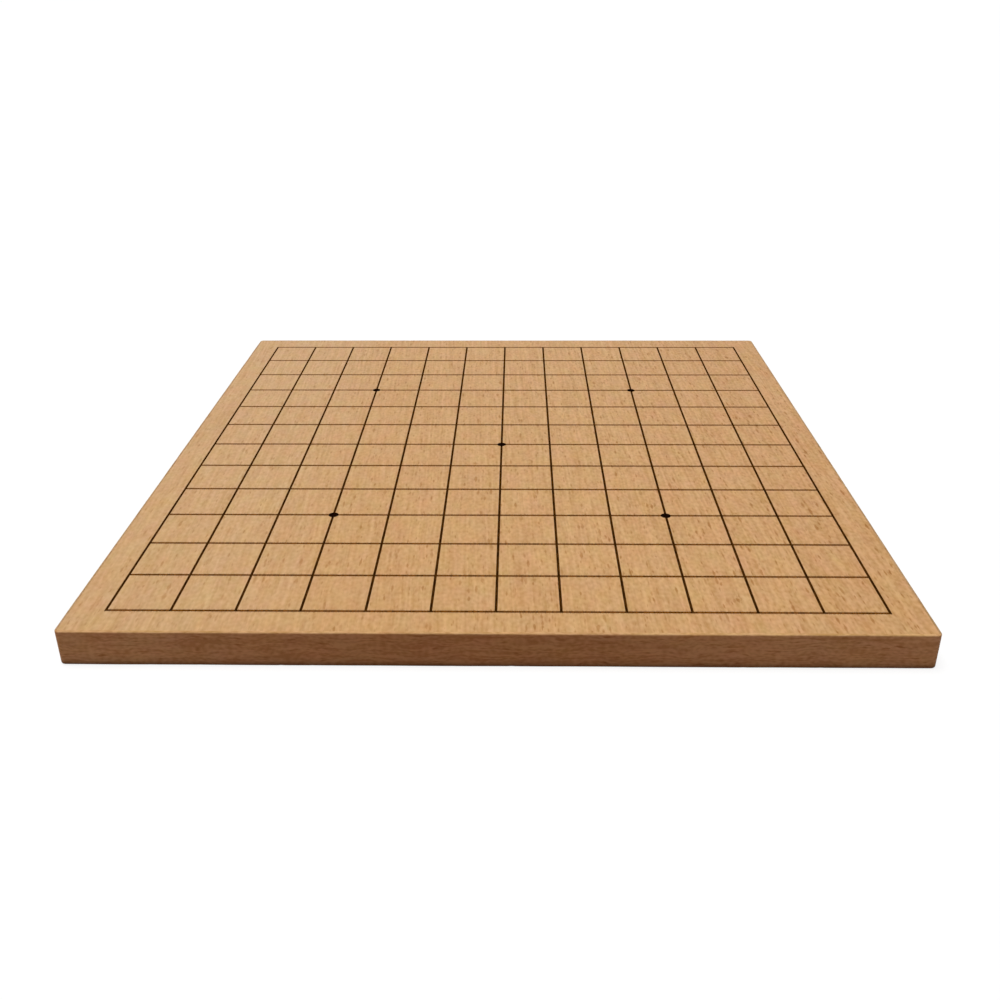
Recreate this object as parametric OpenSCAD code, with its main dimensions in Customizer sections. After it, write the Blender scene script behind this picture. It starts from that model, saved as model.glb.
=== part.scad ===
// Go board for a thirteen-line game: a veneered panel with banded edges and a printed grid.
// Millimetres. The origin is the middle of the underside, +Z is up and the player sits at -Y.

/* [Playing grid] */
// Number of lines each way
line_count = 13; // [9:2:19]
// Spacing of the lines across the board
pitch_x = 22; // [18:0.1:26]
// Spacing of the lines away from the player
pitch_y = 23.7; // [18:0.1:28]
// Width of a printed line
line_w = 0.9; // [0.6:0.1:2]
// Diameter of a star point
star_d = 4; // [3:0.1:8]
// Line on which the corner star points lie, where the border line is line 1
star_line = 4; // [3:1:4]
// Depth to which the ink fills the face veneer
ink_t = 0.1; // [0.05:0.05:0.3]

/* [Panel] */
// Plain border at each side, from the middle of the outer line to the edge of the board
side_border = 13; // [8:0.1:40]
// Plain border at the front and the rear, measured the same way
end_border = 13.3; // [8:0.1:40]
// Thickness of the core panel
core_t = 12; // [6:0.5:30]
// Thickness of the veneer on the top
face_veneer_t = 0.5; // [0.4:0.1:2]
// Thickness of the balancing veneer on the underside
back_veneer_t = 0.5; // [0.4:0.1:2]

/* [Edges] */
// Thickness of the edge bands
band_t = 1; // [0.6:0.1:3]
// Radius of the eased arrises round the top and the underside
arris_r = 0.5; // [0.2:0.1:1]
// Radius of the corners, seen from above
corner_r = 2; // [1.2:0.1:6]

/* [Hidden] */
$fn = 48;

// Printed grid, from the middle of one border line to the middle of the other
grid_w = (line_count - 1) * pitch_x;
grid_d = (line_count - 1) * pitch_y;

// Outside of the finished board
board_w = grid_w + 2 * side_border;
board_d = grid_d + 2 * end_border;
board_t = back_veneer_t + core_t + face_veneer_t;

// Panel inside the edge bands
panel_w = board_w - 2 * band_t;
panel_d = board_d - 2 * band_t;

// Star points: the four corner points and the middle, and on a large board the middles of the sides
star_step = (line_count - 1) / 2 - (star_line - 1);
side_stars_from = 15;
stars = [for (i = [-1:1], j = [-1:1])
    if (line_count >= side_stars_from || abs(i) == abs(j)) [i * star_step, j * star_step]];

beech = "#cba070";
beech_edge = "#a87850";
fibreboard = "#a88a62";
ink = "#1e1610";

// Half of the board's cross-section, reach wide, with its outer arrises rounded
module edge_section(reach) {
    square([reach - arris_r, board_t]);
    translate([0, arris_r])
        square([reach, board_t - 2 * arris_r]);
    for (z = [arris_r, board_t - arris_r])
        translate([reach - arris_r, z])
            circle(arris_r);
}

// Outer form of the board: two crossed slabs with rounded arrises, and a turned quarter at each corner
module eased_board() {
    straight_w = board_w - 2 * corner_r;
    straight_d = board_d - 2 * corner_r;
    for (side = [0, 180])
        rotate([0, 0, side]) {
            translate([-straight_w / 2, 0, 0])
                rotate([90, 0, 90])
                    linear_extrude(straight_w)
                        edge_section(board_d / 2);
            translate([0, straight_d / 2, 0])
                rotate([90, 0, 0])
                    linear_extrude(straight_d)
                        edge_section(board_w / 2);
            translate([straight_w / 2, straight_d / 2, 0])
                rotate_extrude(angle = 90)
                    edge_section(corner_r);
            translate([-straight_w / 2, straight_d / 2, 0])
                rotate([0, 0, 90])
                    rotate_extrude(angle = 90)
                        edge_section(corner_r);
        }
}

// A layer of the board, centred on x and y, resting at height z and eased with the rest of the board
module layer(w, d, z, t) {
    intersection() {
        translate([-w / 2, -d / 2, z])
            cube([w, d, t]);
        eased_board();
    }
}

// Band along the front, which runs the full width and covers the ends of the side bands
module end_band() {
    intersection() {
        translate([-board_w / 2, -board_d / 2, 0])
            cube([board_w, band_t, board_t]);
        eased_board();
    }
}

// Band along the right side, between the front and the rear band
module side_band() {
    intersection() {
        translate([board_w / 2 - band_t, -panel_d / 2, 0])
            cube([band_t, panel_d, board_t]);
        eased_board();
    }
}

// Lines of the grid, seen from above
module line_pattern() {
    for (i = [0:line_count - 1]) {
        translate([i * pitch_x - grid_w / 2 - line_w / 2, -grid_d / 2 - line_w / 2])
            square([line_w, grid_d + line_w]);
        translate([-grid_w / 2 - line_w / 2, i * pitch_y - grid_d / 2 - line_w / 2])
            square([grid_w + line_w, line_w]);
    }
}

// Star points, seen from above
module star_pattern() {
    for (star = stars)
        translate([star.x * pitch_x, star.y * pitch_y])
            circle(d = star_d);
}

module core_panel() {
    color(fibreboard)
        layer(panel_w, panel_d, back_veneer_t, core_t);
}

module face_veneer() {
    color(beech)
        difference() {
            layer(panel_w, panel_d, board_t - face_veneer_t, face_veneer_t);
            translate([0, 0, board_t - ink_t])
                linear_extrude(face_veneer_t) {
                    line_pattern();
                    star_pattern();
                }
        }
}

module back_veneer() {
    color(beech)
        layer(panel_w, panel_d, 0, back_veneer_t);
}

module front_edge_band() {
    color(beech_edge)
        end_band();
}

module rear_edge_band() {
    color(beech_edge)
        rotate([0, 0, 180])
            end_band();
}

module left_edge_band() {
    color(beech_edge)
        rotate([0, 0, 180])
            side_band();
}

module right_edge_band() {
    color(beech_edge)
        side_band();
}

module grid_lines() {
    color(ink)
        translate([0, 0, board_t - ink_t])
            linear_extrude(ink_t)
                difference() {
                    line_pattern();
                    star_pattern();
                }
}

module star_points() {
    color(ink)
        translate([0, 0, board_t - ink_t])
            linear_extrude(ink_t)
                star_pattern();
}

core_panel();
face_veneer();
back_veneer();
front_edge_band();
rear_edge_band();
left_edge_band();
right_edge_band();
grid_lines();
star_points();
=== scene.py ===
"""Looks of the go board: sanded edge bands, beech, printed ink, soft studio light and the camera."""

import math

import bmesh
import bpy
from mathutils import Matrix, Vector, noise


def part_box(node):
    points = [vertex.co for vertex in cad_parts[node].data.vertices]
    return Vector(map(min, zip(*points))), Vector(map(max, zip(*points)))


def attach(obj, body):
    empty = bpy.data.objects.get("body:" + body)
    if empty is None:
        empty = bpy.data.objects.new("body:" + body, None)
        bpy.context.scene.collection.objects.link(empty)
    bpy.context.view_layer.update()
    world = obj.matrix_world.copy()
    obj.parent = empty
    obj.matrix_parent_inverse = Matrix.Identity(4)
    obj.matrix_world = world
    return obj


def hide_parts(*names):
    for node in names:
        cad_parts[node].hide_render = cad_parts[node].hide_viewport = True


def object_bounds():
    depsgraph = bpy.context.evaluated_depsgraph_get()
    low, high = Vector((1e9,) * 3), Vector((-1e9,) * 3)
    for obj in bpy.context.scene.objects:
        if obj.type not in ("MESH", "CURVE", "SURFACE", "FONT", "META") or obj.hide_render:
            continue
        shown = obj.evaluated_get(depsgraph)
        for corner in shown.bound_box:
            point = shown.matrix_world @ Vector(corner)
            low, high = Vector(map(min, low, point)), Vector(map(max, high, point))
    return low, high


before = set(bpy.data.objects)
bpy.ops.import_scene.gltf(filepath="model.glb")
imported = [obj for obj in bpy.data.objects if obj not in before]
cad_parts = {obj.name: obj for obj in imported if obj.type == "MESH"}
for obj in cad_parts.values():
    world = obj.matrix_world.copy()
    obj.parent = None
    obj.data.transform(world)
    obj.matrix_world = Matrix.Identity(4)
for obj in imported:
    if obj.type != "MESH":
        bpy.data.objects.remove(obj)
cad_low, cad_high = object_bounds()

# Lengths and places below are in millimetres and angles in degrees, and the objects are in metres
MM = 0.001
HALF_WIDTH = cad_high.x / MM
HALF_DEPTH = cad_high.y / MM
HEIGHT = cad_high.z / MM

# Printed grid: the lines along Y are uprights, and those along X cross the grain
LINE_COUNT = 13
LINE_WIDTH = 0.9
LINE_EDGE = LINE_WIDTH / 2
grid_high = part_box("grid_lines")[1]
GRID_HALF_WIDTH = grid_high.x / MM
GRID_HALF_DEPTH = grid_high.y / MM
PITCH_X = (2 * GRID_HALF_WIDTH - LINE_WIDTH) / (LINE_COUNT - 1)
PITCH_Y = (2 * GRID_HALF_DEPTH - LINE_WIDTH) / (LINE_COUNT - 1)

# Eased arris round the top and the underside, and how far sanding by hand strays from it
ARRIS_RADIUS = 0.5
ARRIS_WANDER = 0.14
ARRIS_WANDER_LENGTH = 16.0
ARRIS_NICK = 0.55
ARRIS_NICK_LENGTH = 2.2
ARRIS_NICK_ABOVE = 0.42
FOOT_SEED = 7.0
TOP_SEED = 31.0

# Ring of wood from which the edge bands are cut: corners, depth, and the steps of its mesh
CORNER_RADIUS = 2.0
RING_DEPTH = 1.6
CORNER_STEPS = 16
ARRIS_STEPS = 8
OUTLINE_STEP = 1.5

# Faces of a band: flat strip beside each arris, length that counts as a sliver, and angle of a sharp edge
HOLDING_EDGE = 0.25
SLIVER = 0.001
SHARP_ANGLE = 30.0

# Beech of the face: linear colours, and tints that multiply them
UNTINTED = (1.0, 1.0, 1.0)
BEECH_PALE = (0.662, 0.387, 0.179)
BEECH_DEEP = (0.504, 0.273, 0.102)
BEECH_FLECK = (0.68, 0.56, 0.365)
# Painted sheen: the left tint makes the face paler and whiter at its left, as where light from the left
# falls on it
PAINTED_LEFT_SHEEN = (1.005, 1.055, 1.15)
RIGHT_TINT = (0.950, 0.920, 0.900)
REAR_TINT = (0.965, 0.967, 0.992)

# Places across the face between which the painted sheen at the left fades out and the right tint sets in
LEFT_SHEEN_FADE = (-105.0, -50.0)
RIGHT_FADE = (30.0, 140.0)

# Beech of the edge bands: linear colours, and tints that multiply them
# The band colours are partly the bands' own tone and partly painted shade: darker and redder than the
# face's beech, which their top rim takes instead
EDGE_PALE = (0.655, 0.278, 0.115)
EDGE_DEEP = (0.505, 0.190, 0.065)
EDGE_FLECK = (0.72, 0.60, 0.44)
# Painted light: the end tint makes a band paler and whiter towards its ends, as if lit more from the sides
PAINTED_END_LIGHT = (1.16, 1.27, 1.40)
# Painted shade: the foot tints darken a band towards the floor, most at its lower arris
PAINTED_FOOT_SHADE = (0.68, 0.70, 0.68)
PAINTED_FOOT_ARRIS_SHADE = (0.50, 0.47, 0.44)
RIM_TINT = (0.74, 0.78, 0.86)

# Heights between which the painted shade of a band's foot and the darker painted shade of its lower arris
# fade out, and the face's beech of its top rim sets in
FOOT_SHADE_FADE = (-1.0, 5.0)
FOOT_ARRIS_SHADE_FADE = (0.0, 4.0 * ARRIS_RADIUS)
TOP_RIM_FADE = (HEIGHT - 1.2 * ARRIS_RADIUS, HEIGHT - 0.2 * ARRIS_RADIUS)

# Share of a band's half length, from its middle, where the painted light of its paler ends has not yet set
# in
BAND_MIDDLE = 0.15

# Wander of red, green and blue, its noise as size, detail and roughness, and the bands' share of it
HUE_WANDER = (0.145, 0.19, 0.33)
HUE_NOISE = ((7.0, 14.0, 7.0), 2.0, 0.65)
EDGE_HUE_SHARE = 0.9

# Middle of a noise texture's range, and of the tone of the grain
NOISE_MIDDLE = 0.5

# Layers of the grain, as size across, along and into it, detail and weight, with the fibres last
FACE_LAYERS = (
    ((18.0, 300.0, 18.0), 2.0, 0.14),
    ((1.05, 45.0, 1.05), 0.0, 0.80),
    ((1.15, 2.0, 1.15), 0.5, 1.42),
    ((1.1, 16.0, 1.1), 0.0, 0.60),
    ((0.6, 20.0, 0.6), 1.0, 0.45),
)
EDGE_LAYERS = (
    ((8.0, 30.0, 8.0), 1.0, 0.95),
    ((2.6, 18.0, 2.6), 1.0, 0.75),
    ((0.85, 1.7, 0.85), 0.5, 1.95),
    ((0.75, 8.0, 0.75), 0.5, 1.55),
    ((0.55, 24.0, 0.55), 1.0, 1.30),
)

# Lean of the face's fibres, as travel to the right for each length to the rear: negative is to the left
GRAIN_LEAN = -0.035

# Sway of the fibres, as the size of its waves across, along and into the grain, and its reach
FACE_SWAY = ((9.0, 40.0, 9.0), 2.4)
EDGE_SWAY = ((5.0, 18.0, 5.0), 4.6)

# Strength of the face's grain and ray flecks at its left and its right edge
GRAIN_STRENGTH = (0.72, 1.12)
FLECK_STRENGTH = (0.70, 1.20)

# How far the back veneer's grain lies from that of the face, so that the two differ
UNMOVED = (0.0, 0.0, 0.0)
BACK_OFFSET = (60.0, 33.0, 9.0)

# Ray flecks, as width, length, share of the places that hold one and strength
FACE_FLECKS = ((1.3, 6.0, 0.46, 1.0), (0.95, 3.8, 0.38, 0.95))
EDGE_FLECKS = ((0.66, 4.6, 0.50, 1.0), (0.52, 2.6, 0.34, 0.8))

# Size of a fleck: usual radius and soft edge as shares of its place, and the smallest beside the usual
FLECK_RADIUS = 0.48
FLECK_SOFTNESS = 0.42
FLECK_SMALLEST = 0.5

# Outline of a fleck: from 1, a diamond, to 2, an ellipse, and the reach and size of its raggedness
FLECK_ROUNDNESS = 1.4
FLECK_RAG = (0.55, 1.8, 0.0)
FLECK_RAG_SIZE = (0.8, 2.2, 0.8)

# Satin lacquer: range of the fibres' noise, roughness over that range, relief of the grain, and gloss
FIBRE_RANGE = (0.2, 0.8)
LACQUER_ROUGHNESS = (0.46, 0.58)
GRAIN_RELIEF = 0.025
RELIEF_STRENGTH = 0.25
FACE_GLOSS = 0.16
EDGE_GLOSS = 0.06

# Printing ink: linear colours, tint where a line crosses the grain, roughness and gloss
LINE_INK_DARK = (0.024, 0.0085, 0.001)
LINE_INK_THIN = (0.082, 0.029, 0.003)
STAR_INK_DARK = (0.004, 0.0012, 0.0005)
STAR_INK_THIN = (0.012, 0.004, 0.0015)
CROSSING_INK_TINT = (2.6, 2.4, 2.4)
INK_ROUGHNESS = (0.6, 0.75)
INK_GLOSS = 0.0

# Pores into which the ink sank, as size, detail and the range of their noise
INK_PORE_SIZE = (0.4, 2.5, 0.4)
INK_PORE_DETAIL = 2.0
INK_PORE_RANGE = (0.35, 0.7)

# Ink that crept out of the lines: least and most reach along the fibres, reach across them, and tint
INK_CREEP = (0.25, 1.15)
INK_BLEED = 0.12
INK_CREEP_TINT = (0.53, 0.48, 0.40)

# Fibres along which the ink crept, as size and the range of their noise
INK_PULL_SIZE = (0.35, 4.0, 0.35)
INK_PULL_RANGE = (0.25, 0.75)

# Fibreboard: linear colours, noise of its fibres as size, detail and roughness, and surface roughness
FIBRE_PALE = (0.46, 0.31, 0.17)
FIBRE_DARK = (0.30, 0.19, 0.09)
FELT_NOISE = ((0.8, 0.8, 0.25), 4.0, 0.65)
FELT_ROUGHNESS = (0.75, 0.95)

# Floor: side, gap under the board, its grey and its glow as seen, and its grey to all other light
FLOOR_SIZE = 30000.0
FLOOR_GAP = 0.02
FLOOR_SEEN = 0.22
FLOOR_GLOW = 0.80
FLOOR_BOUNCE = 0.30

# Light of the surroundings and of the overhead lamp, and how wide the lamp is and how far it leans
WORLD_LIGHT = 0.12
OVERHEAD_LIGHT = 0.88
OVERHEAD_ANGLE = 40.0
OVERHEAD_LEAN = 8.0

# Camera, as fitted to the photograph
CAMERA_PLACE = Vector((6.66, -440.97, 202.78))
CAMERA_LENS = 37.668
CAMERA_SENSOR = 36.0
CAMERA_TILT = 26.324
CAMERA_TURN = 0.981
CAMERA_ROLL = -0.290

# Sockets of a mix node that blends colours
MIX_FIRST = 6
MIX_SECOND = 7
MIX_RESULT = 2


def add_object(name, data):
    """Adds an object to the scene."""
    thing = bpy.data.objects.new(name, data)
    bpy.context.scene.collection.objects.link(thing)
    return thing


def new_material(name):
    """A material with its node tree and its shader."""
    material = bpy.data.materials.new(name)
    material.use_nodes = True
    return material, material.node_tree, material.node_tree.nodes["Principled BSDF"]


def feed(tree, socket, value):
    """Sets a socket to a value, or links it to the output of another node."""
    if isinstance(value, bpy.types.NodeSocket):
        tree.links.new(value, socket)
    else:
        socket.default_value = value


def put(tree, kind, inputs=None, **settings):
    """Adds a node with the given settings and inputs."""
    node = tree.nodes.new(kind)
    for name, value in settings.items():
        setattr(node, name, value)
    for name, value in (inputs or {}).items():
        feed(tree, node.inputs[name], value)
    return node


def calc(tree, operation, *values):
    """Output of a math node."""
    node = put(tree, "ShaderNodeMath", dict(enumerate(values)), operation=operation)
    return node.outputs[0]


def vector_calc(tree, operation, *values):
    """Output of a vector math node."""
    node = put(tree, "ShaderNodeVectorMath", dict(enumerate(values)), operation=operation)
    return node.outputs[0]


def stretch(tree, value, low, high, to_low=0.0, to_high=1.0, shape="SMOOTHSTEP"):
    """Maps a value from one range to another, held at both ends."""
    inputs = {"Value": value, "From Min": low, "From Max": high, "To Min": to_low, "To Max": to_high}
    return put(tree, "ShaderNodeMapRange", inputs, interpolation_type=shape).outputs["Result"]


def blend_colour(tree, factor, first, second):
    """Colour between two colours, each of them a plain colour or a node's output."""
    node = put(tree, "ShaderNodeMix", {"Factor": factor}, data_type="RGBA")
    for socket, colour in ((MIX_FIRST, first), (MIX_SECOND, second)):
        feed(tree, node.inputs[socket], (*colour, 1.0) if isinstance(colour, tuple) else colour)
    return node.outputs[MIX_RESULT]


def tinted(tree, colour, tint):
    """Colour multiplied by a tint."""
    return vector_calc(tree, "MULTIPLY", colour, tint)


def tint_where(tree, colour, mask, tint):
    """Colour multiplied by a tint where a mask is 1, and left as it is where the mask is 0."""
    return tinted(tree, colour, blend_colour(tree, mask, UNTINTED, tint))


def tint_along(tree, colour, place, span, first, second):
    """Colour multiplied by a tint that changes from one to another over a span of places."""
    return tinted(tree, colour, blend_colour(tree, stretch(tree, place, *span), first, second))


def cloud(tree, space, size, detail=1.0, roughness=0.5):
    """Noise texture whose grains have the given size along each axis of space."""
    scaled = vector_calc(tree, "MULTIPLY", space, tuple(1.0 / s for s in size))
    inputs = {"Vector": scaled, "Scale": 1.0, "Detail": detail, "Roughness": roughness}
    return put(tree, "ShaderNodeTexNoise", inputs).outputs


def board_axes(tree):
    """Position on the board in millimetres, as its X, Y and Z."""
    metres = put(tree, "ShaderNodeTexCoord").outputs["Object"]
    place = vector_calc(tree, "MULTIPLY", metres, (1 / MM,) * 3)
    return put(tree, "ShaderNodeSeparateXYZ", {"Vector": place}).outputs


def across_fibres(tree, x, y):
    """Place across the face veneer, which stays the same along each leaning fibre."""
    return calc(tree, "MULTIPLY_ADD", y, -GRAIN_LEAN, x)


def left_to_right(tree, x, strengths):
    """Strength that changes evenly from the left edge of the board to the right one."""
    return stretch(tree, x, -HALF_WIDTH, HALF_WIDTH, *strengths, shape="LINEAR")


def from_line(tree, place, pitch):
    """Distance from the nearest line of the grid, whose middle line runs through the origin."""
    return calc(tree, "PINGPONG", place, pitch / 2)


def grain_space(tree, across, along, into, sway, offset=UNMOVED):
    """Position across the grain, along it and into the wood, with fibres that sway a little."""
    waves, reach = sway
    straight = put(tree, "ShaderNodeCombineXYZ", {"X": across, "Y": along, "Z": into}).outputs[0]
    placed = vector_calc(tree, "ADD", straight, offset)
    bend = calc(tree, "SUBTRACT", cloud(tree, placed, waves)["Fac"], NOISE_MIDDLE)
    shift = put(tree, "ShaderNodeCombineXYZ", {"X": calc(tree, "MULTIPLY", bend, reach)}).outputs[0]
    return vector_calc(tree, "ADD", placed, shift)


def grain_tone(tree, space, layers):
    """Tone of the grain, from 0 in pale wood to 1 in deep wood, and its last layer by itself."""
    tone = NOISE_MIDDLE
    for size, detail, weight in layers:
        layer = cloud(tree, space, size, detail)["Fac"]
        swing = calc(tree, "SUBTRACT", layer, NOISE_MIDDLE)
        tone = calc(tree, "MULTIPLY_ADD", swing, weight, tone)
    return tone, layer


def flecks(tree, space, width, length, share):
    """Mask of one kind of ray fleck: soft dashes along the grain, of varied size and strength."""
    scaled = vector_calc(tree, "MULTIPLY", space, (1.0 / width, 1.0 / length, 1.0 / width))
    inputs = {"Vector": scaled, "Scale": 1.0, "Exponent": FLECK_ROUNDNESS}
    cells = put(tree, "ShaderNodeTexVoronoi", inputs, distance="MINKOWSKI").outputs
    pick = put(tree, "ShaderNodeSeparateColor", {"Color": cells["Color"]}).outputs
    strength = stretch(tree, pick["Red"], 1.0 - share, 1.0, shape="LINEAR")
    size = calc(tree, "ADD", pick["Green"], FLECK_SMALLEST)
    radius = calc(tree, "MULTIPLY", size, FLECK_RADIUS)
    spot = stretch(tree, calc(tree, "SUBTRACT", radius, cells["Distance"]), 0.0, FLECK_SOFTNESS)
    return calc(tree, "MULTIPLY", spot, strength)


def ray_marks(tree, space, kinds):
    """Mask of all kinds of ray flecks together, with ragged outlines."""
    rag = cloud(tree, space, FLECK_RAG_SIZE)["Color"]
    ragged = vector_calc(tree, "MULTIPLY_ADD", rag, FLECK_RAG, space)
    marks = 0.0
    for width, length, share, strength in kinds:
        kind = calc(tree, "MULTIPLY", flecks(tree, ragged, width, length, share), strength)
        marks = calc(tree, "MAXIMUM", marks, kind)
    return marks


def hue_tint(tree, space, share=1.0):
    """Tint close to white whose red, green and blue wander apart from each other."""
    wander = cloud(tree, space, *HUE_NOISE)["Color"]
    amounts = tuple(share * amount for amount in HUE_WANDER)
    least = tuple(1.0 - amount / 2 for amount in amounts)
    return vector_calc(tree, "MULTIPLY_ADD", wander, amounts, least)


def ink_creep(tree, space, x, y):
    """Share of ink that crept out of the lines: far along the fibres, and a little across them."""
    least, most = INK_CREEP
    pull = cloud(tree, space, INK_PULL_SIZE)["Fac"]
    reach = stretch(tree, pull, *INK_PULL_RANGE, LINE_EDGE + least, LINE_EDGE + most)
    along = stretch(tree, from_line(tree, y, PITCH_Y), LINE_EDGE, reach, 1.0, 0.0)
    beside_grid = calc(tree, "GREATER_THAN", calc(tree, "ABSOLUTE", x), GRID_HALF_WIDTH)
    along = calc(tree, "SUBTRACT", along, beside_grid)
    across = stretch(tree, from_line(tree, x, PITCH_X), LINE_EDGE, LINE_EDGE + INK_BLEED, 1.0, 0.0)
    beyond_grid = calc(tree, "GREATER_THAN", calc(tree, "ABSOLUTE", y), GRID_HALF_DEPTH)
    across = calc(tree, "SUBTRACT", across, beyond_grid)
    return calc(tree, "MAXIMUM", calc(tree, "MAXIMUM", along, across), 0.0)


def lacquer(tree, shader, colour, fibres, marks, gloss):
    """Satin lacquer over wood: colour and gloss, with roughness and slight relief from the grain."""
    height = calc(tree, "SUBTRACT", fibres, marks)
    relief = {"Height": height, "Strength": RELIEF_STRENGTH, "Distance": GRAIN_RELIEF * MM}
    bump = put(tree, "ShaderNodeBump", relief).outputs["Normal"]
    feed(tree, shader.inputs["Base Color"], colour)
    feed(tree, shader.inputs["Roughness"], stretch(tree, fibres, *FIBRE_RANGE, *LACQUER_ROUGHNESS))
    feed(tree, shader.inputs["Normal"], bump)
    feed(tree, shader.inputs["Specular IOR Level"], gloss)


def face_beech(name, offset=UNMOVED, printed=True):
    """Beech veneer with its grain from front to back, paler at its left from a painted sheen, and redder
    at its right.
    """
    material, tree, shader = new_material(name)
    x, y, z = board_axes(tree)
    space = grain_space(tree, across_fibres(tree, x, y), y, z, FACE_SWAY, offset)
    tone, fibres = grain_tone(tree, space, FACE_LAYERS)
    swing = calc(tree, "SUBTRACT", tone, NOISE_MIDDLE)
    tone = calc(tree, "MULTIPLY_ADD", swing, left_to_right(tree, x, GRAIN_STRENGTH), NOISE_MIDDLE)
    marks = ray_marks(tree, space, FACE_FLECKS)
    marks = calc(tree, "MULTIPLY", marks, left_to_right(tree, x, FLECK_STRENGTH))
    colour = blend_colour(tree, tone, BEECH_PALE, BEECH_DEEP)
    colour = tinted(tree, colour, hue_tint(tree, space))
    colour = tint_where(tree, colour, marks, BEECH_FLECK)
    # Painted sheen at the face's left
    colour = tint_along(tree, colour, x, LEFT_SHEEN_FADE, PAINTED_LEFT_SHEEN, UNTINTED)
    colour = tint_along(tree, colour, x, RIGHT_FADE, UNTINTED, RIGHT_TINT)
    colour = tint_along(tree, colour, y, (-HALF_DEPTH, HALF_DEPTH), UNTINTED, REAR_TINT)
    if printed:
        colour = tint_where(tree, colour, ink_creep(tree, space, x, y), INK_CREEP_TINT)
    lacquer(tree, shader, colour, fibres, marks, FACE_GLOSS)
    return material


def edge_beech(name, along, into, half_length, rim_tint):
    """Beech band with its grain along the edge: paler at its ends as painted light, darker at its foot as
    painted shade, and with the face's beech at its rim.
    """
    material, tree, shader = new_material(name)
    axes = board_axes(tree)
    height = axes["Z"]
    space = grain_space(tree, height, axes[along], axes[into], EDGE_SWAY)
    tone, fibres = grain_tone(tree, space, EDGE_LAYERS)
    marks = ray_marks(tree, space, EDGE_FLECKS)
    colour = blend_colour(tree, tone, EDGE_PALE, EDGE_DEEP)
    from_middle = calc(tree, "ABSOLUTE", axes[along])
    end_light_fade = (BAND_MIDDLE * half_length, half_length)
    # Painted light on the band's ends
    colour = tint_along(tree, colour, from_middle, end_light_fade, UNTINTED, PAINTED_END_LIGHT)
    # Painted shade at the band's foot and lower arris
    colour = tint_along(tree, colour, height, FOOT_SHADE_FADE, PAINTED_FOOT_SHADE, UNTINTED)
    colour = tint_along(tree, colour, height, FOOT_ARRIS_SHADE_FADE, PAINTED_FOOT_ARRIS_SHADE, UNTINTED)
    # At its top rim the band takes the face's beech in place of its darker, redder colour, which is partly
    # painted shade; the rim tint makes that rim darker and greyer on the sides and rear
    rim = tinted(tree, blend_colour(tree, tone, BEECH_PALE, BEECH_DEEP), rim_tint)
    colour = blend_colour(tree, stretch(tree, height, *TOP_RIM_FADE), colour, rim)
    colour = tinted(tree, colour, hue_tint(tree, space, EDGE_HUE_SHARE))
    colour = tint_where(tree, colour, marks, EDGE_FLECK)
    lacquer(tree, shader, colour, fibres, marks, EDGE_GLOSS)
    return material


def ink(name, dark, thin, crossing_tint=UNTINTED):
    """Warm black ink, thinner where it sank into the pores and where its line crosses the grain."""
    material, tree, shader = new_material(name)
    x, y, z = board_axes(tree)
    space = grain_space(tree, across_fibres(tree, x, y), y, z, FACE_SWAY)
    pores = cloud(tree, space, INK_PORE_SIZE, INK_PORE_DETAIL)["Fac"]
    sunk = stretch(tree, pores, *INK_PORE_RANGE)
    colour = blend_colour(tree, sunk, dark, thin)
    from_upright = from_line(tree, x, PITCH_X)
    colour = tint_along(tree, colour, from_upright, (LINE_EDGE, LINE_WIDTH), UNTINTED, crossing_tint)
    feed(tree, shader.inputs["Base Color"], colour)
    feed(tree, shader.inputs["Roughness"], stretch(tree, sunk, 0.0, 1.0, *INK_ROUGHNESS))
    feed(tree, shader.inputs["Specular IOR Level"], INK_GLOSS)
    return material


def fibreboard(name):
    """Raw fibreboard: a felted speckle of short pale and dark fibres."""
    material, tree, shader = new_material(name)
    x, y, z = board_axes(tree)
    space = grain_space(tree, x, y, z, FACE_SWAY)
    speckle = cloud(tree, space, *FELT_NOISE)["Fac"]
    feed(tree, shader.inputs["Base Color"], blend_colour(tree, speckle, FIBRE_DARK, FIBRE_PALE))
    feed(tree, shader.inputs["Roughness"], stretch(tree, speckle, 0.0, 1.0, *FELT_ROUGHNESS))
    return material


def finish_nodes():
    """Gives the frame's own panel, veneers and ink their materials."""
    finishes = {
        "core_panel": fibreboard("fibreboard"),
        "face_veneer": face_beech("beech_face"),
        "back_veneer": face_beech("beech_back", BACK_OFFSET, printed=False),
        "grid_lines": ink("line_ink", LINE_INK_DARK, LINE_INK_THIN, CROSSING_INK_TINT),
        "star_points": ink("star_ink", STAR_INK_DARK, STAR_INK_THIN),
    }
    for node, material in finishes.items():
        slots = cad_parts[node].data.materials
        slots.clear()
        slots.append(material)


def outline():
    """Points along the board's outside, seen from above, each with its outward direction."""
    places = []
    corners = ((1, -1), (1, 1), (-1, 1), (-1, -1))
    for turn, (side, end) in enumerate(corners):
        centre = Vector((side * (HALF_WIDTH - CORNER_RADIUS), end * (HALF_DEPTH - CORNER_RADIUS)))
        for step in range(CORNER_STEPS + 1):
            angle = math.radians(90.0 * (turn - 1 + step / CORNER_STEPS))
            out = Vector((math.cos(angle), math.sin(angle)))
            places.append((centre + CORNER_RADIUS * out, out))
        length = 2 * ((HALF_DEPTH if turn % 2 == 0 else HALF_WIDTH) - CORNER_RADIUS)
        ahead = Vector((-out.y, out.x))
        start = places[-1][0]
        pieces = round(length / OUTLINE_STEP)
        places += [(start + ahead * length * k / pieces, out) for k in range(1, pieces)]
    return places


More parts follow.
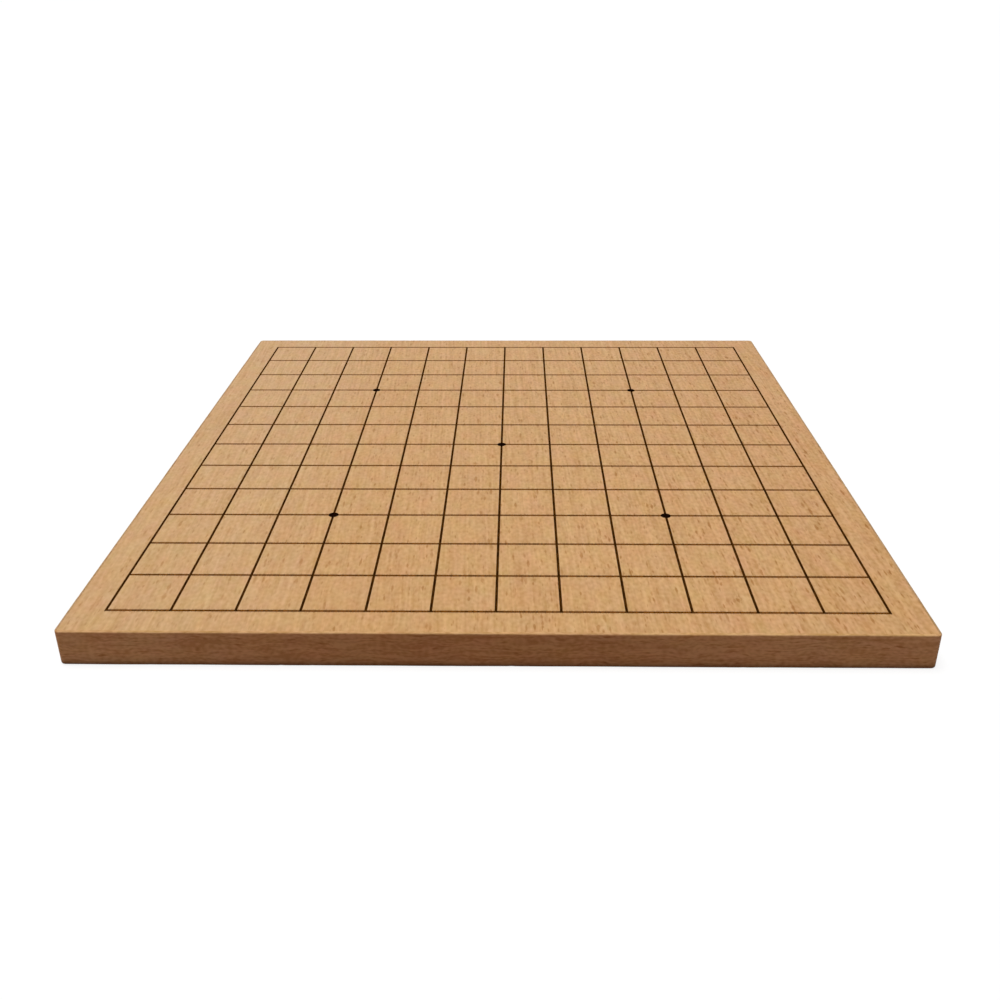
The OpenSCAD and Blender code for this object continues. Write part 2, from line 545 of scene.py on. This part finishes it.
def sanded_radius(place, seed):
    """Radius of the arris at one place: it wanders, and is larger where the edge took a knock."""
    wander = noise.noise(Vector((*place, seed)) / ARRIS_WANDER_LENGTH)
    nick = noise.noise(Vector((*place, seed)) / ARRIS_NICK_LENGTH) - ARRIS_NICK_ABOVE
    return ARRIS_RADIUS + ARRIS_WANDER * wander + ARRIS_NICK * max(0.0, nick)


def edge_section(foot, top):
    """Section of the board's rim, from the underside round to the top.

    Its points are (distance in from the outside, height), and foot and top are the radii of its arrises.
    """
    turns = [math.pi / 2 * step / ARRIS_STEPS for step in range(ARRIS_STEPS + 1)]
    section = [(RING_DEPTH, 0.0), (foot + HOLDING_EDGE, 0.0)]
    section += [(foot * (1 - math.sin(turn)), foot * (1 - math.cos(turn))) for turn in turns]
    section += [(0.0, foot + HOLDING_EDGE), (0.0, HEIGHT - top - HOLDING_EDGE)]
    section += [(top * (1 - math.cos(turn)), HEIGHT - top * (1 - math.sin(turn))) for turn in turns]
    section += [(top + HOLDING_EDGE, HEIGHT), (RING_DEPTH, HEIGHT)]
    return section


def sanded_rim():
    """Closed ring of wood round the whole board, with its arrises as sanded."""
    rim = bmesh.new()
    rings = []
    for place, out in outline():
        ring = []
        section = edge_section(sanded_radius(place, FOOT_SEED), sanded_radius(place, TOP_SEED))
        for inset, height in section:
            ring.append(rim.verts.new((*(place - out * inset) * MM, height * MM)))
        rings.append(ring)
    for first, second in zip(rings, rings[1:] + rings[:1]):
        for k in range(len(first)):
            rim.faces.new((first[k - 1], second[k - 1], second[k], first[k]))
    return rim


def cut(shape, place, away):
    """Cuts off what lies beyond a plane, and closes the cut."""
    everything = shape.verts[:] + shape.edges[:] + shape.faces[:]
    bmesh.ops.bisect_plane(shape, geom=everything, plane_co=place, plane_no=away, clear_outer=True)
    bmesh.ops.holes_fill(shape, edges=[edge for edge in shape.edges if edge.is_boundary], sides=0)


def edge_band(side, rim, cuts, material):
    """Band cut from the rim, which replaces the frame's own band on that side."""
    shape = rim.copy()
    for place, away in cuts:
        cut(shape, place, away)
    bmesh.ops.dissolve_degenerate(shape, edges=shape.edges[:], dist=SLIVER * MM)
    mesh = bpy.data.meshes.new(side + "_sanded_band")
    shape.to_mesh(mesh)
    shape.free()
    mesh.shade_smooth()
    mesh.set_sharp_from_angle(angle=math.radians(SHARP_ANGLE))
    mesh.materials.append(material)
    band = add_object(mesh.name, mesh)
    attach(band, "root")
    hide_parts(side + "_edge_band")


def make_bands():
    """The four bands: those at the front and rear run the full width, and the others fit between them."""
    panel_low, panel_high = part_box("face_veneer")
    right = Vector((1, 0, 0))
    left = Vector((-1, 0, 0))
    back = Vector((0, 1, 0))
    front = Vector((0, -1, 0))
    between = ((panel_low, front), (panel_high, back))
    front_beech = edge_beech("beech_front_band", "X", "Y", HALF_WIDTH, UNTINTED)
    rear_beech = edge_beech("beech_rear_band", "X", "Y", HALF_WIDTH, RIM_TINT)
    side_beech = edge_beech("beech_side_bands", "Y", "X", HALF_DEPTH, RIM_TINT)
    rim = sanded_rim()
    edge_band("front", rim, ((panel_low, back),), front_beech)
    edge_band("rear", rim, ((panel_high, front),), rear_beech)
    edge_band("left", rim, ((panel_low, right), *between), side_beech)
    edge_band("right", rim, ((panel_high, left), *between), side_beech)
    rim.free()


def grey(level):
    """Neutral colour of the given level, where 1 is white."""
    return (level, level, level, 1.0)


def white_when_seen(tree, seen, bounced):
    """Shows one shader to the camera, mirrors and glass, and another to all other light."""
    rays = put(tree, "ShaderNodeLightPath").outputs
    looked_at = calc(tree, "MAXIMUM", rays["Is Camera Ray"], rays["Is Glossy Ray"])
    looked_at = calc(tree, "MAXIMUM", looked_at, rays["Is Transmission Ray"])
    return put(tree, "ShaderNodeMixShader", {0: looked_at, 1: bounced, 2: seen}).outputs[0]


def make_floor():
    """Large pale floor under the board, which shows the board's shadow."""
    half = FLOOR_SIZE / 2 * MM
    corners = [(-half, -half, 0), (half, -half, 0), (half, half, 0), (-half, half, 0)]
    mesh = bpy.data.meshes.new("floor")
    mesh.from_pydata(corners, [], [(0, 1, 2, 3)])
    floor = add_object("floor", mesh)
    floor.location.z = cad_low.z - FLOOR_GAP * MM
    material, tree, shader = new_material("floor")
    tree.nodes.remove(shader)
    lit = put(tree, "ShaderNodeBsdfDiffuse", {"Color": grey(FLOOR_SEEN)}).outputs[0]
    glow = put(tree, "ShaderNodeEmission", {"Color": grey(1.0), "Strength": FLOOR_GLOW}).outputs[0]
    seen = put(tree, "ShaderNodeAddShader", {0: lit, 1: glow}).outputs[0]
    bounced = put(tree, "ShaderNodeBsdfDiffuse", {"Color": grey(FLOOR_BOUNCE)}).outputs[0]
    surface = tree.nodes["Material Output"].inputs["Surface"]
    feed(tree, surface, white_when_seen(tree, seen, bounced))
    mesh.materials.append(material)


def make_light():
    """Even white surroundings and one wide overhead lamp that leans to the left."""
    world = bpy.data.worlds.new("studio")
    bpy.context.scene.world = world
    world.use_nodes = True
    tree = world.node_tree
    tree.nodes.remove(tree.nodes["Background"])
    white = grey(1.0)
    seen = put(tree, "ShaderNodeBackground", {"Color": white, "Strength": 1.0}).outputs[0]
    bounced = put(tree, "ShaderNodeBackground", {"Color": white, "Strength": WORLD_LIGHT}).outputs[0]
    surface = tree.nodes["World Output"].inputs["Surface"]
    feed(tree, surface, white_when_seen(tree, seen, bounced))
    lean = math.radians(OVERHEAD_LEAN)
    lamp = bpy.data.lights.new("overhead", "SUN")
    lamp.angle = math.radians(OVERHEAD_ANGLE)
    lamp.energy = math.pi * OVERHEAD_LIGHT / math.cos(lean)
    overhead = add_object("overhead", lamp)
    overhead.rotation_euler = (0.0, -lean, 0.0)


def make_camera():
    """Camera at the photograph's place, turned to the left, tilted down and rolled a little."""
    data = bpy.data.cameras.new("camera")
    data.lens = CAMERA_LENS
    data.sensor_width = CAMERA_SENSOR
    camera = add_object("camera", data)
    turn = Matrix.Rotation(math.radians(CAMERA_TURN), 4, "Z")
    tilt = Matrix.Rotation(math.radians(90.0 - CAMERA_TILT), 4, "X")
    roll = Matrix.Rotation(math.radians(CAMERA_ROLL), 4, "Z")
    camera.matrix_world = Matrix.Translation(CAMERA_PLACE * MM) @ turn @ tilt @ roll
    bpy.context.scene.camera = camera


finish_nodes()
make_bands()
make_floor()
make_light()
make_camera()
bpy.context.scene.view_settings.view_transform = "Standard"
